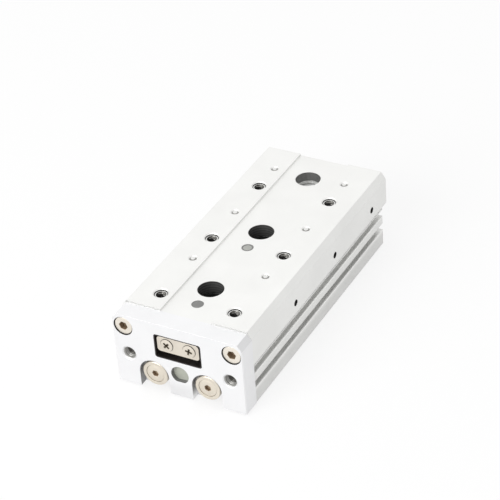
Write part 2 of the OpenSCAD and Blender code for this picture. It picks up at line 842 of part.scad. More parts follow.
// end plate: joins the table to the rods
module end_plate() {
    half_w = table_w / 2;
    color("whitesmoke") placed() difference() {
        intersection() {
            extrude_y(0, plate_t) plate_outline();
            linear_extrude(band_z + over) polygon([[-half_w, edge_bevel], [-half_w + edge_bevel, 0],
                [half_w - edge_bevel, 0], [half_w, edge_bevel], [half_w, plate_t], [-half_w, plate_t]]);
        }
        extrude_y(-over, plate_t + over)
            round_box2(-window_w / 2, window_w / 2, window_z0, window_z0 + window_h, window_corner);
        for (x = [-bore_x, bore_x]) {
            extrude_y(-over, web_y0) rod_slot2(x, slot_w);
            extrude_y(-over, plate_t + over) rod_slot2(x, 2 * (neck_r + 0.3));
            extrude_y(web_y1, plate_t + over) rod_slot2(x, bushing_d + 1);
        }
        extrude_y(-over, plate_t) bumper_hole2();
        bar_y(0, bumper_z, bumper_y0, plate_t + over, bumper_hole_d / 2 + bumper_rim);
        for (x = [-corner_bolt_w / 2, corner_bolt_w / 2]) {
            bar_y(x, corner_bolt_z, -over, m5[2] + head_sink, m5[1] + corner_head_gap);
            bar_y(x, corner_bolt_z, -over, plate_t + over, m5[0] + screw_fit);
        }
        for (x = [-front_thread_w / 2, front_thread_w / 2]) {
            bar_y(x, front_thread_z, -over, plate_t + over, insert_r + seat_fit);
            translate([x, 0, front_thread_z]) rotate([-90, 0, 0])
                cylinder(r1 = insert_r + insert_sink, r2 = insert_r, h = insert_sink, $fn = round_fn);
        }
    }
}

// bolts that hold the end plate on the table
module end_plate_bolts() {
    seat_y = m5[2] + head_sink;
    color("antiquewhite") placed() for (x = [-corner_bolt_w / 2, corner_bolt_w / 2])
        cap_screw_y(x, seat_y, corner_bolt_z, m5[0], plate_t + corner_bolt_l - tip_gap - seat_y,
                    m5[1], m5[2], m5[3]);
}

// steel inserts in the tapped holes of the end plate
module end_plate_inserts() {
    color("gray") placed() for (x = [-front_thread_w / 2, front_thread_w / 2]) difference() {
        bar_y(x, front_thread_z, insert_sink, plate_t - insert_end_gap, insert_r);
        bar_y(x, front_thread_z, -over, plate_t + over, m5[0] * tapped);
    }
}

// black liner of the window that wipes past the rail's end
module window_liner() {
    x = window_w / 2;
    z1 = window_z0 + window_h;
    color("black") placed() extrude_y(liner_inset, plate_t - liner_inset) difference() {
        round_box2(-x, x, window_z0, z1, window_corner);
        round_box2(-x + liner_t, x - liner_t, window_z0 + liner_t, z1 - liner_t,
                   window_corner - liner_t);
    }
}

// rubber bumper that meets the front of the body when the table is drawn in
module end_bumper() {
    r = bumper_hole_d / 2 + bumper_rim - seat_fit;
    y1 = body_y0 - end_gap;
    color("darkseagreen") placed() turned_y(0, bumper_z)
        polygon([[0, bumper_y0], [r, bumper_y0], [r, y1 - bumper_bevel], [r - bumper_bevel, y1],
                 [0, y1]]);
}

// spool that floats in a slot of the end plate and takes the rod's pull and push
module floating_bushing(x) {
    hole_r = m4[0] + screw_fit;
    bevel = 0.3;
    turned_y(x, bore_z) polygon([[rod_bolt_head_r + rod_bolt_gap, bushing_inset],
        [bushing_r - bevel, bushing_inset], [bushing_r, bushing_inset + bevel],
        [bushing_r, web_y0 - web_gap], [neck_r, web_y0 - web_gap], [neck_r, web_y1 + web_gap],
        [bushing_r, web_y1 + web_gap], [bushing_r, rod_y0], [hole_r, rod_y0],
        [hole_r, rod_bolt_seat_y], [rod_bolt_head_r + rod_bolt_gap, rod_bolt_seat_y]]);
}

module floating_bushing_left() {
    color("antiquewhite") placed() floating_bushing(-bore_x);
}

module floating_bushing_right() {
    color("antiquewhite") placed() floating_bushing(bore_x);
}

// low head bolts that clamp the bushings to the rods
module rod_end_bolts() {
    color("bisque") placed() for (x = [-bore_x, bore_x])
        cap_screw_y(x, rod_bolt_seat_y, bore_z, m4[0], rod_bolt_l, rod_bolt_head_r,
                    rod_bolt_head_h, m4[3]);
}

// piston rod with the spigot that carries the piston
module piston_rod(x) {
    r = rod_d / 2;
    y_shoulder = piston_y0 + piston_shoulder;
    spigot_y1 = piston_y1 - rod_bevel;
    turned_y(x, bore_z) polygon([[m4[0] + seat_fit, rod_y0], [r - rod_bevel, rod_y0],
        [r, rod_y0 + rod_bevel], [r, y_shoulder], [spigot_r, y_shoulder], [spigot_r, spigot_y1],
        [0, spigot_y1], [0, rod_hole_end_y], [m4[0] + seat_fit, rod_hole_end_y]]);
}

module piston_rod_left() {
    color("lightgray") placed() piston_rod(-bore_x);
}

module piston_rod_right() {
    color("lightgray") placed() piston_rod(bore_x);
}

// piston with two seal grooves and a wide groove for the magnet
module piston(x) {
    r = piston_r;
    rod_hole_r = rod_d / 2 + seat_fit;
    mid_y = (piston_y0 + piston_y1) / 2;
    turned_y(x, bore_z) difference() {
        box2(spigot_r + seat_fit, r, piston_y0, piston_y1);
        box2(0, rod_hole_r, piston_y0 - over, piston_y0 + piston_shoulder);
        box2(0, nut_r + nut_sink, piston_y1 - nut_h - nut_sink, piston_y1 + over);
        for (y = [piston_y0 + seal_inset, piston_y1 - seal_inset - seal_groove_l])
            box2(r - seal_groove, r + over, y, y + seal_groove_l);
        box2(r - magnet_groove, r + over, mid_y - magnet_l / 2, mid_y + magnet_l / 2);
    }
}

module piston_left() {
    color("silver") placed() piston(-bore_x);
}

module piston_right() {
    color("silver") placed() piston(bore_x);
}

// cup seals of the pistons, with their lips towards the two ends
module piston_seals() {
    side_gap = 0.05;
    r0 = bore_r - running_fit - seal_groove;
    r1 = bore_r - running_fit;
    a = piston_y0 + seal_inset + side_gap;
    b = piston_y1 - seal_inset - side_gap;
    l = seal_groove_l - 2 * side_gap;
    color("black") placed() for (x = [-bore_x, bore_x]) turned_y(x, bore_z) {
        polygon([[r0, a], [r0 + 0.5, a], [r0 + 0.7, a + 0.8], [r1 - 0.35, a], [r1, a + 0.2],
                 [r1 - 0.15, a + l], [r0, a + l]]);
        polygon([[r0, b], [r0 + 0.5, b], [r0 + 0.7, b - 0.8], [r1 - 0.35, b], [r1, b - 0.2],
                 [r1 - 0.15, b - l], [r0, b - l]]);
    }
}

// ring magnets that switch the sensors in the grooves
module piston_magnets() {
    gap = 0.1;
    mid_y = (piston_y0 + piston_y1) / 2;
    color("darkslategray") placed() for (x = [-bore_x, bore_x]) turned_y(x, bore_z)
        box2(piston_r - magnet_groove + seat_fit, piston_r - gap, mid_y - magnet_l / 2 + gap,
             mid_y + magnet_l / 2 - gap);
}

// nuts that hold the pistons on their rods
module piston_nuts() {
    color("silver") placed() for (x = [-bore_x, bore_x]) difference() {
        bar_y(x, bore_z, piston_y1 - nut_h - nut_sink, piston_y1 - nut_sink, nut_r, 6);
        bar_y(x, bore_z, piston_y1 - nut_h - over, piston_y1 + over, spigot_r + seat_fit);
    }
}

// flat cage with one window for each roller
module roller_cage(dir) {
    window_l = roller_d + cage_window_gap;
    window_h = roller_d * sqrt(2) + cage_window_gap;
    x = dir * v_x;
    y0 = cage_mid_y - cage_l / 2;
    extrude_x(x - cage_t / 2, x + cage_t / 2) difference() {
        round_box2(y0, y0 + cage_l, rail_mid_z - cage_h / 2, rail_mid_z + cage_h / 2, 1);
        for (i = [0 : roller_count - 1])
            translate([roller_y(i), rail_mid_z]) square([window_l, window_h], center = true);
    }
}
function roller_y(i) = cage_mid_y + (i - (roller_count - 1) / 2) * roller_pitch;

// rollers that lean left and right in turn, so that they carry load both ways
module rollers(dir) {
    for (i = [0 : roller_count - 1])
        translate([dir * v_x, roller_y(i), rail_mid_z]) rotate([0, i % 2 == 0 ? 45 : -45, 0])
            cylinder(r = roller_d / 2, h = roller_l, center = true, $fn = round_fn);
}

module roller_cage_left() {
    color("peru") placed() roller_cage(-1);
}

module rollers_left() {
    color("lightgray") placed() rollers(-1);
}

module roller_cage_right() {
    color("peru") placed() roller_cage(1);
}

module rollers_right() {
    color("lightgray") placed() rollers(1);
}

body();
guide_rail();
rail_screws();
roller_stopper_front();
roller_stopper_rear();
stopper_screws();
head_cap_left();
head_cap_right();
head_cap_o_rings();
rear_retaining_rings();
rear_bumpers();
seal_support_left();
seal_support_right();
rod_seals();
seal_support_o_rings();
front_retaining_rings();
front_bumpers();
table();
side_guide_left();
side_guide_right();
guide_screws();
guide_stop_screws();
preload_screws();
thread_inserts();
locating_plugs();
end_plate();
end_plate_bolts();
end_plate_inserts();
window_liner();
end_bumper();
floating_bushing_left();
floating_bushing_right();
rod_end_bolts();
piston_rod_left();
piston_rod_right();
piston_left();
piston_right();
piston_seals();
piston_magnets();
piston_nuts();
roller_cage_left();
rollers_left();
roller_cage_right();
rollers_right();
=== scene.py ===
"""Twin-rod pneumatic slide table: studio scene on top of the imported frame.

The frame's nodes keep their shapes and get materials. Screws, plugs and threads whose real form is
finer than the frame's solids are made here with numpy. Lengths are in metres, apart from those that
MM turns into metres, those whose name ends in _mm and those of the parts that solid() takes.
"""
import json
import math

import bmesh
import bpy
import numpy as np
from mathutils import Matrix, Vector


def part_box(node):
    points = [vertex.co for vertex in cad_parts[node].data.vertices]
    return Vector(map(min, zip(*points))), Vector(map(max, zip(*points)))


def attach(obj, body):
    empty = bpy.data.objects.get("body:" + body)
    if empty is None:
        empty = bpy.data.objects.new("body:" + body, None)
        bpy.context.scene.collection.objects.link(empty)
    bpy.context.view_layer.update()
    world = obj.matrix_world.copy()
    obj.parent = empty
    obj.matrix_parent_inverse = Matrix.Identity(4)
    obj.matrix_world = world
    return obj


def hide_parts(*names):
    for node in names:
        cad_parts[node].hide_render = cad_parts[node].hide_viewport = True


MM = 0.001
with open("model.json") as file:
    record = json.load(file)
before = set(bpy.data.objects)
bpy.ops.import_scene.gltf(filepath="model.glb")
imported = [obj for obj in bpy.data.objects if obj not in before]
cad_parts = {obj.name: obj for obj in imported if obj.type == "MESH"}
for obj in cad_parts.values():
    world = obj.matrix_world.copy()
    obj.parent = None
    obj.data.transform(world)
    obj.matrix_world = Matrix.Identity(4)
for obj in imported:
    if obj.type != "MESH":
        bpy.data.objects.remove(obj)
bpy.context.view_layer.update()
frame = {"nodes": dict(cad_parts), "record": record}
nodes = frame["nodes"]
# the record says where the mounting bolts sit under the access holes
openings = {row["name"]: np.array(row["box_m"]) for row in frame["record"]["physics"]["openings"]}
bolt_places = [openings[seat].mean(axis=0)[:2].tolist() for seat in ("bolt_seat_1", "bolt_seat_2")]


# ---------------------------------------------------------------- camera
def make_camera():
    """Pinhole camera at the viewing angle: 30 degrees round, 35 degrees up, with a slight roll."""
    azimuth, elevation, roll = map(math.radians, (30.2, 34.6, -4.36))
    target = Vector((0, -10.35, 16.7)) * MM
    distance, aside, above = 875.57, 1.81, 17.06
    back = Vector((math.sin(azimuth) * math.cos(elevation),
                   -math.cos(azimuth) * math.cos(elevation), math.sin(elevation)))
    right = (-back).cross(Vector((0, 0, 1))).normalized()
    up = right.cross(-back)
    turned_right = math.cos(roll) * right + math.sin(roll) * up
    turned_up = math.cos(roll) * up - math.sin(roll) * right
    place = target + (back * distance + turned_right * aside + turned_up * above) * MM
    data = bpy.data.cameras.new("camera")
    data.sensor_width = 36
    data.lens = 143.48
    data.clip_start, data.clip_end = 0.05, 20
    cam = bpy.data.objects.new("camera", data)
    bpy.context.scene.collection.objects.link(cam)
    turn = Matrix((turned_right, turned_up, back)).transposed()
    cam.matrix_world = Matrix.Translation(place) @ turn.to_4x4()
    bpy.context.scene.camera = cam


make_camera()


# ---------------------------------------------------------------- shader nodes, noise and colour
NOISE_RANGE = (0.3, 0.7)    # most of the noise lies between these values


def linear(code):
    """Turns an sRGB hex colour into the linear colour that the shader works with."""
    parts = [int(code[i:i + 2], 16) / 255 for i in (1, 3, 5)]
    return tuple(c / 12.92 if c <= 0.04045 else ((c + 0.055) / 1.055) ** 2.4 for c in parts) + (1.0,)


def empty_tree(owner):
    """The node tree of a new material or world, without the nodes it comes with."""
    owner.use_nodes = True
    owner.node_tree.nodes.clear()
    return owner.node_tree


def add(tree, kind, values=None, links=None, **settings):
    """Adds one shader node: settings are its properties, values its inputs, links what feeds them."""
    made = tree.nodes.new(kind)
    for name, value in settings.items():
        setattr(made, name, value)
    for name, value in (values or {}).items():
        made.inputs[name].default_value = value
    for name, source in (links or {}).items():
        tree.links.new(source, made.inputs[name])
    return made


def grain(tree, place, size_mm, stretch=(1, 1, 1), detail=2.0):
    """Noise whose cells are size_mm across; stretch above 1 draws them out along that axis."""
    scale = tuple(1 / (MM * size_mm * s) for s in stretch)
    mapping = add(tree, "ShaderNodeMapping", values={"Scale": scale}, links={"Vector": place})
    noise = add(tree, "ShaderNodeTexNoise", values={"Scale": 1.0, "Detail": detail},
                links={"Vector": mapping.outputs["Vector"]})
    return noise.outputs["Fac"]


def two_tones(tree, noise, low, high):
    """Colour that wanders with a noise between two hex colours."""
    made = add(tree, "ShaderNodeValToRGB", links={"Fac": noise})
    for element, position, code in zip(made.color_ramp.elements, NOISE_RANGE, (low, high)):
        element.position = position
        element.color = linear(code)
    return made.outputs["Color"]


def spread(tree, noise, low, high):
    """Number that wanders with a noise from low to high."""
    values = {"From Min": NOISE_RANGE[0], "From Max": NOISE_RANGE[1], "To Min": low, "To Max": high}
    return add(tree, "ShaderNodeMapRange", values=values, links={"Value": noise}).outputs["Result"]


def relief(tree, shader, height, depth_mm, edge_mm):
    """Bump of a given depth over softly rounded edges of a given radius."""
    soft = add(tree, "ShaderNodeBevel", values={"Radius": edge_mm * MM}, samples=4)
    bump = add(tree, "ShaderNodeBump", values={"Strength": 1.0, "Distance": depth_mm * MM},
               links={"Height": height, "Normal": soft.outputs["Normal"]})
    tree.links.new(bump.outputs["Normal"], shader.inputs["Normal"])


# ---------------------------------------------------------------- masks for places on a piece
def near(tree, value, middle, half):
    """One where a value lies within half of the middle, and nought elsewhere."""
    return add(tree, "ShaderNodeMath", values={1: middle, 2: half}, links={0: value},
               operation="COMPARE").outputs[0]


def near_either(tree, value, middle, half):
    """One where a value or its opposite lies within half of the middle."""
    size = add(tree, "ShaderNodeMath", links={0: value}, operation="ABSOLUTE").outputs[0]
    return near(tree, size, middle, half)


def within(tree, value, low, high):
    """One where a value lies between low and high, and nought elsewhere."""
    return near(tree, value, (low + high) / 2, (high - low) / 2)


def slope(tree, value, nought, one):
    """Goes evenly from nought to one between two values, and stays level beyond them."""
    return add(tree, "ShaderNodeMapRange", values={"From Min": nought, "From Max": one},
               links={"Value": value}).outputs["Result"]


def chained(tree, operation, masks):
    """Joins the first mask with the second, the result with the third, and so on."""
    found = masks[0]
    for mask in masks[1:]:
        found = add(tree, "ShaderNodeMath", links={0: found, 1: mask}, operation=operation).outputs[0]
    return found


def overlap(tree, *masks):
    """One only where every mask is one: their product."""
    return chained(tree, "MULTIPLY", masks)


def union(tree, *masks):
    """One where any mask is one: the greatest of them."""
    return chained(tree, "MAXIMUM", masks)


def without(tree, mask, taken):
    """A mask less the part of it that another one covers."""
    return add(tree, "ShaderNodeMath", links={0: mask, 1: overlap(tree, mask, taken)},
               operation="SUBTRACT").outputs[0]


def round_spots(tree, axes, places, radius):
    """One within a radius of any of the given places in the plan view."""
    spot = add(tree, "ShaderNodeCombineXYZ", links={"X": axes["X"], "Y": axes["Y"]}).outputs[0]
    masks = []
    for x, y in places:
        away = add(tree, "ShaderNodeVectorMath", values={1: (x, y, 0.0)}, links={0: spot},
                   operation="DISTANCE").outputs["Value"]
        masks.append(near(tree, away, 0.0, radius))
    return union(tree, *masks)


def facing(tree):
    """Parts X, Y and Z of the direction that a face looks in."""
    normal = add(tree, "ShaderNodeNewGeometry").outputs["True Normal"]
    return add(tree, "ShaderNodeSeparateXYZ", links={"Vector": normal}).outputs


def dim(tree, colour, *places):
    """Paints shade into a colour: leaves only a share of it in each of the given places, which are
    pairs of mask and share; a share above one paints light instead."""
    for mask, left in places:
        share = add(tree, "ShaderNodeMath", values={1: left - 1.0, 2: 1.0}, links={0: mask},
                    operation="MULTIPLY_ADD").outputs[0]
        colour = add(tree, "ShaderNodeVectorMath", links={0: colour, "Scale": share},
                     operation="SCALE").outputs["Vector"]
    return colour


BOLT_SEAT_R = 6.1 * MM      # a little wider than the counterbores of the mounting bolts
SKIN = 0.05 * MM            # what lies deeper than this below an outer face is inside the piece


def shade_table(tree, axes, colour):
    """The walls of the access holes get painted shade and a painted reflection of the dark inside of
    the guide, most of all under the rim, with fine turning marks. The last hole stands over the
    bright rail: its wall gets painted shade only above the part that the rail lights. The steps
    beside and before the pads and the long bevels get painted shade, and so do the deep holes of
    the preload screws, which are painted dark."""
    lo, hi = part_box("table")
    face = facing(tree)
    band_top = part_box("locating_plugs")[1][2]
    band_half, hole_half, hole_depth, last_hole_from_rear = 12.5 * MM, 6.0 * MM, 6 * MM, 30 * MM
    hole_top, hole_foot = band_top - SKIN, band_top - hole_depth
    end_gap, lit_height, mark_pitch, preload_r = 0.3 * MM, 1.9 * MM, 1.3 * MM, 1.6 * MM
    bevel_turn, bevel_h, give, bore_turn = 0.72, 8 * MM, 0.2, 0.9
    between_ends = within(tree, axes["Y"], lo[1] + end_gap, hi[1] - end_gap)
    inside = overlap(tree, near(tree, axes["X"], 0.0, hole_half), between_ends,
                     within(tree, axes["Z"], hole_foot, hole_top))
    over_rail = near(tree, axes["Y"], hi[1], last_hole_from_rear)
    lit_up_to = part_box("guide_rail")[1][2] + lit_height
    last = overlap(tree, inside, over_rail, within(tree, axes["Z"], lit_up_to, hole_top))
    first = without(tree, inside, over_rail)
    under_rim = overlap(tree, first, slope(tree, axes["Z"], hole_foot, band_top))

    turns = add(tree, "ShaderNodeMath", values={1: 2 * math.pi / mark_pitch}, links={0: axes["Z"]},
                operation="MULTIPLY").outputs[0]
    wave = add(tree, "ShaderNodeMath", links={0: turns}, operation="SINE").outputs[0]
    marks = overlap(tree, slope(tree, wave, -1.0, 1.0), first)

    pads = near(tree, axes["Z"], hi[2], hi[2] - band_top)
    step = overlap(tree, pads, near(tree, face["Z"], 0.0, give), near(tree, axes["X"], 0.0, band_half))
    front = overlap(tree, pads, near(tree, face["Y"], -1.0, give))
    bevel = overlap(tree, near_either(tree, face["X"], bevel_turn, give),
                    near(tree, axes["Z"], hi[2], bevel_h))

    preload_lo, preload_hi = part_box("preload_screws")
    side_holes = overlap(tree, near(tree, axes["Z"], (preload_lo[2] + preload_hi[2]) / 2, preload_r),
                         near(tree, face["X"], 0.0, bore_turn),
                         near(tree, axes["X"], hi[0], hi[0] - preload_lo[0]), between_ends)
    return dim(tree, colour, (bevel, 0.95), (first, 0.32), (under_rim, 0.75), (marks, 0.6),
               (last, 0.28), (step, 0.94), (front, 0.58), (side_holes, 0.12))


def shade_end_plate(tree, axes, colour):
    """The long bevels get a painted reflection of the dark side of the room. The walls of the slots
    and holes get painted shade, darkest round the corner bolts, except for the foot of the web
    between the slots, which is left bright for the floor's light. The web's front gets painted
    shade towards its foot."""
    lo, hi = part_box("end_plate")
    face = facing(tree)
    bevel_turn, bevel_give, bevel_w, bevel_h = 0.78, 0.15, 2.25 * MM, 2.8 * MM
    web_half, head_room = 7.6 * MM, 0.6 * MM
    unlit_foot, lit_foot = lo[2] + 5 * MM, lo[2] + 1.5 * MM
    clear_front, dull_front = lo[2] + 8 * MM, lo[2] + 4 * MM
    bevel = overlap(tree, near_either(tree, face["X"], bevel_turn, bevel_give),
                    near_either(tree, axes["X"], hi[0], bevel_w), near(tree, axes["Z"], hi[2], bevel_h))
    walls = overlap(tree, near(tree, face["Y"], 0.0, 0.5), near(tree, axes["X"], 0.0, hi[0] - SKIN),
                    within(tree, axes["Z"], lo[2] + SKIN, hi[2] - SKIN))
    walls = without(tree, walls, bevel)

    bolts_lo, bolts_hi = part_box("end_plate_bolts")
    head_r = (bolts_hi[2] - bolts_lo[2]) / 2
    seat_r = head_r + head_room
    seats = overlap(tree, walls, near(tree, axes["Z"], bolts_hi[2] - head_r, seat_r),
                    near_either(tree, axes["X"], bolts_hi[0] - head_r, seat_r))

    web = near(tree, axes["X"], 0.0, web_half)
    walls = without(tree, walls, overlap(tree, web, slope(tree, axes["Z"], unlit_foot, lit_foot)))
    web_front = overlap(tree, web, slope(tree, axes["Z"], clear_front, dull_front),
                        near(tree, face["Y"], -1.0, 0.2))
    return dim(tree, colour, (bevel, 0.86), (walls, 0.34), (seats, 0.4), (web_front, 0.9))


def shade_body(tree, axes, colour):
    """The sensor grooves get painted shade, more with depth. Their lower lips get a painted highlight
    where their rounding would catch the light, the flank under them gets painted shade for the
    duller ground it would mirror, and the seats of the mounting bolts are painted dark."""
    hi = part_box("body")[1]
    groove_half, groove_depth = 1.75 * MM, 3.8 * MM
    lip_drop, lip_half = 2.1 * MM, 0.45 * MM
    flank_top, flank_foot = 7.4 * MM, 5.8 * MM
    seat_z, seat_half = 19 * MM, 4 * MM
    lower_groove, upper_groove = 9.9 * MM, 17.45 * MM
    deep = slope(tree, axes["X"], hi[0], hi[0] - groove_depth)
    side = near(tree, facing(tree)["X"], 1.0, 0.3)
    for middle, left in ((lower_groove, 0.79), (upper_groove, 0.9)):
        groove = overlap(tree, near(tree, axes["Z"], middle, groove_half), deep)
        lip = overlap(tree, side, near(tree, axes["Z"], middle - lip_drop, lip_half))
        colour = dim(tree, colour, (groove, left), (lip, 1.12))
    flank = overlap(tree, side, slope(tree, axes["Z"], flank_top, flank_foot))
    seats = overlap(tree, round_spots(tree, axes, bolt_places, BOLT_SEAT_R),
                    near(tree, axes["Z"], seat_z, seat_half))
    return dim(tree, colour, (flank, 0.87), (seats, 0.15))


def shade_rail(tree, axes, colour):
    """The bores for the mounting bolts get painted shade, dark up to their broken edge."""
    return dim(tree, colour, (round_spots(tree, axes, bolt_places, BOLT_SEAT_R), 0.06))


# ---------------------------------------------------------------- materials
def surface(name, low, high, cloud_mm, marks_mm, roughness, metallic, depth_mm, edge_mm=0.1,
            stretch=(1, 1, 1), shade=None):
    """Material whose colour wanders between two tones in clouds of one size, while marks of another
    size, drawn out by stretch, break its gloss and give it relief. roughness is a pair of lowest and
    highest value. shade takes the tree, the coordinates X, Y and Z and the colour, and gives back
    the colour with painted shade and light at places on the piece."""
    made = bpy.data.materials.new(name)
    tree = empty_tree(made)
    shader = add(tree, "ShaderNodeBsdfPrincipled", values={"Metallic": metallic})
    add(tree, "ShaderNodeOutputMaterial", links={"Surface": shader.outputs["BSDF"]})
    place = add(tree, "ShaderNodeTexCoord").outputs["Object"]
    marks = grain(tree, place, marks_mm, stretch=stretch, detail=3.0)
    colour = two_tones(tree, grain(tree, place, cloud_mm), low, high)
    if shade:
        axes = add(tree, "ShaderNodeSeparateXYZ", links={"Vector": place}).outputs
        colour = shade(tree, axes, colour)
    tree.links.new(colour, shader.inputs["Base Color"])
    tree.links.new(spread(tree, marks, *roughness), shader.inputs["Roughness"])
    relief(tree, shader, marks, depth_mm, edge_mm)
    return made


def blasted(name, low, high, edge_mm, shade):
    """Aluminium, milled, bead blasted and clear anodised: a pale, even satin with a grit that only
    shows as a soft sparkle, and slightly brighter broken edges. The grit is drawn about twice as
    coarse as it is, because the real one is too fine to show."""
    return surface(name, low, high, cloud_mm=18, marks_mm=0.28, roughness=(0.40, 0.52),
                   metallic=0.75, depth_mm=0.006, edge_mm=edge_mm, shade=shade)


def anodised_body():
    """Aluminium, extruded and clear anodised: a satin like the table's but a tone duller, with faint
    die lines along the body and lips that are rounded by the die."""
    return surface("clear_anodised_extruded_aluminium", "#E4E4E2", "#E9E9E7", cloud_mm=14,
                   marks_mm=0.3, stretch=(1, 60, 1), roughness=(0.34, 0.48), metallic=0.78,
                   depth_mm=0.004, edge_mm=0.9, shade=shade_body)


def metal(name, low, high, roughness, marks_mm, stretch=(1, 1, 1), depth_mm=0.003, metallic=1.0,
          shade=None):
    """Plated, turned or ground steel or bare aluminium: a gloss that is broken by the marks of its
    making. They are drawn coarser than they are, because the real ones are too fine to show."""
    return surface(name, low, high, cloud_mm=6, marks_mm=marks_mm, stretch=stretch,
                   roughness=(roughness - 0.06, roughness + 0.06), metallic=metallic,
                   depth_mm=depth_mm, shade=shade)


def moulded(name, low, high, roughness, marks_mm):
    """Moulded plastic or rubber: no metal in it, a fine grained skin and a small wander in tone."""
    return surface(name, low, high, cloud_mm=5, marks_mm=marks_mm,
                   roughness=(roughness - 0.08, roughness + 0.08), metallic=0.0, depth_mm=0.01)


finish = {
    "anodised_table": blasted("clear_anodised_blasted_aluminium", "#ECECEA", "#F0F0EE", 0.04,
                              shade_table),
    "anodised_body": anodised_body(),
    # ground along the travel: fine lines and a pale, soft gloss. Its metallic value is low, because
    # the plain room has little that a steel mirror could show
    "guide_steel": metal("ground_guide_steel", "#E8E9E8", "#F0F1F0", 0.36, 0.12,
                         stretch=(1, 80, 1), metallic=0.25, shade=shade_rail),
    # plated with chromium and polished: nearly a mirror, with the finest lines along the rod
    "hard_chrome": metal("hard_chromed_steel", "#C8C9CA", "#D4D5D6", 0.12, 0.08,
                         stretch=(1, 40, 1), depth_mm=0.001),
    # plated with nickel: warm, pale and satin
    "nickel_plated_steel": metal("satin_nickel_plated_steel", "#DAD2C5", "#E5DDD0", 0.34, 0.25),
    # blackened in a hot bath and oiled: brown black with a dull sheen
    "black_oxide_steel": metal("black_oxide_steel", "#26221F", "#38322D", 0.42, 0.2),
    # turned from bar: mid grey and fairly glossy
    "stainless_steel": metal("turned_stainless_steel", "#A9A8A6", "#BFBEBB", 0.30, 0.15),
    # turned and left bare: pale grey, paler than steel
    "machined_aluminium": metal("turned_aluminium", "#C4C5C6", "#D0D1D1", 0.32, 0.15),
    # powder bound with resin: dark grey, matt and hardly metallic
    "magnet": metal("bonded_magnet", "#2B2B2C", "#3A3A3B", 0.6, 0.3, metallic=0.4),
    # moulded plugs as the frame has them: an even grey
    "grey_plastic": moulded("grey_moulded_plastic", "#8C8C8A", "#999997", 0.5, 0.3),
    # moulded seals and bumpers: nearly black and matt
    "black_rubber": moulded("black_nitrile_rubber", "#141414", "#1E1E1D", 0.55, 0.25),
    # moulded liner round the window: brown black with a soft sheen
    "black_plastic": moulded("black_moulded_plastic", "#15110F", "#241E1B", 0.5, 0.3),
    # cast bumper in the end plate: grey with a trace of green
    "grey_urethane": moulded("grey_urethane", "#A6A99C", "#B2B4A9", 0.45, 0.4),
    # moulded roller cages: amber and slightly glossy
    "cage_plastic": moulded("amber_cage_plastic", "#9A7444", "#AD8655", 0.42, 0.3),
}
end_plate_finish = blasted("clear_anodised_milled_aluminium", "#ECECED", "#F0F0F1", 0.1,
                           shade_end_plate)
# blasted, then plated: duller than the other nickel
bushing_finish = metal("blasted_nickel_plated_steel", "#DDD5C7", "#E6DED0", 0.42, 0.2)
# plated bright: the palest nickel
corner_finish = metal("bright_nickel_plated_steel", "#EAE3D7", "#F2EBE0", 0.3, 0.2)
# walls of broached hexagons and pressed crosses: brown painted shade, since little light comes back out
# of them
socket_shade_finish = metal("painted_shade_hex_socket", "#8F7B64", "#A08C74", 0.5, 0.3, metallic=0.3)
cross_shade_finish = metal("painted_shade_cross_recess", "#51493B", "#625949", 0.5, 0.3, metallic=0.3)
# painted shadow in the gap round a screw's head: nearly black
gap_shadow_finish = metal("painted_shadow_in_screw_gap", "#2C2722", "#3A332C", 0.5, 0.3, metallic=0.3)
# cut threads, one steel in lit and shaded copies: the crests keep its pale tone, and painted shade makes
# the flanks greyer, those near the mouth duller, the roots dark and the depth black
crest_finish = metal("bright_thread_crest", "#E2E2E0", "#EFEFED", 0.3, 0.1)
mouth_shade_finish = metal("painted_shade_thread_mouth", "#A2A19E", "#B4B3B0", 0.55, 0.1)
flank_shade_finish = metal("painted_shade_thread_flank", "#8E8D8A", "#A3A29F", 0.3, 0.1)
shaded_finish = metal("cut_thread_in_shade", "#5F5D5A", "#716F6B", 0.45, 0.1)
root_shade_finish = metal("painted_shade_thread_root", "#4A4844", "#5A5853", 0.35, 0.1)
deep_shade_finish = metal("painted_shade_thread_depth", "#1B1A18", "#272522", 0.5, 0.2, metallic=0.3)
# moulded plugs: an even mid grey, and a lighter one for the middle of the second plug
plug_finish = moulded("mid_grey_moulded_plastic", "#7C7C7A", "#848482", 0.5, 0.3)
pale_plug_finish = moulded("light_grey_moulded_plastic", "#A6A7A2", "#B2B3AE", 0.5, 0.3)

slot_of = {row["node"]: row["material_slot"] for row in frame["record"]["subparts"]}
own_finish = {"end_plate": end_plate_finish, "floating_bushing_left": bushing_finish,
              "floating_bushing_right": bushing_finish}
for name, piece in nodes.items():
    piece.data.materials.clear()
    piece.data.materials.append(own_finish.get(name, finish[slot_of[name]]))


# ---------------------------------------------------------------- shapes worked out with numpy
TURN = np.linspace(0, 2 * np.pi, 96, endpoint=False)    # angles of the points round a turned piece
REARWARD, DOWN = (0, 1, 0), (0, 0, -1)


def mm_box(node):
    """Corners of a CAD node in millimetres."""
    lo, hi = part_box(node)
    return np.array(lo) / MM, np.array(hi) / MM


def both(x):
    """The two places of a pair that stands left and right of the middle."""
    return (-x, x)


def round_pair(node):
    """Corners of a CAD node that is a pair of round pieces along Y, and the pieces' radius, distance
    from the middle and height, all in millimetres."""
    lo, hi = mm_box(node)
    r = (hi[2] - lo[2]) / 2
    return lo, hi, r, hi[0] - r, (lo[2] + hi[2]) / 2


def three_rows(lo, hi, r):
    """Places along Y of the first, the middle and the last of three round pieces in a box."""
    return (lo[1] + r, (lo[1] + hi[1]) / 2, hi[1] - r)


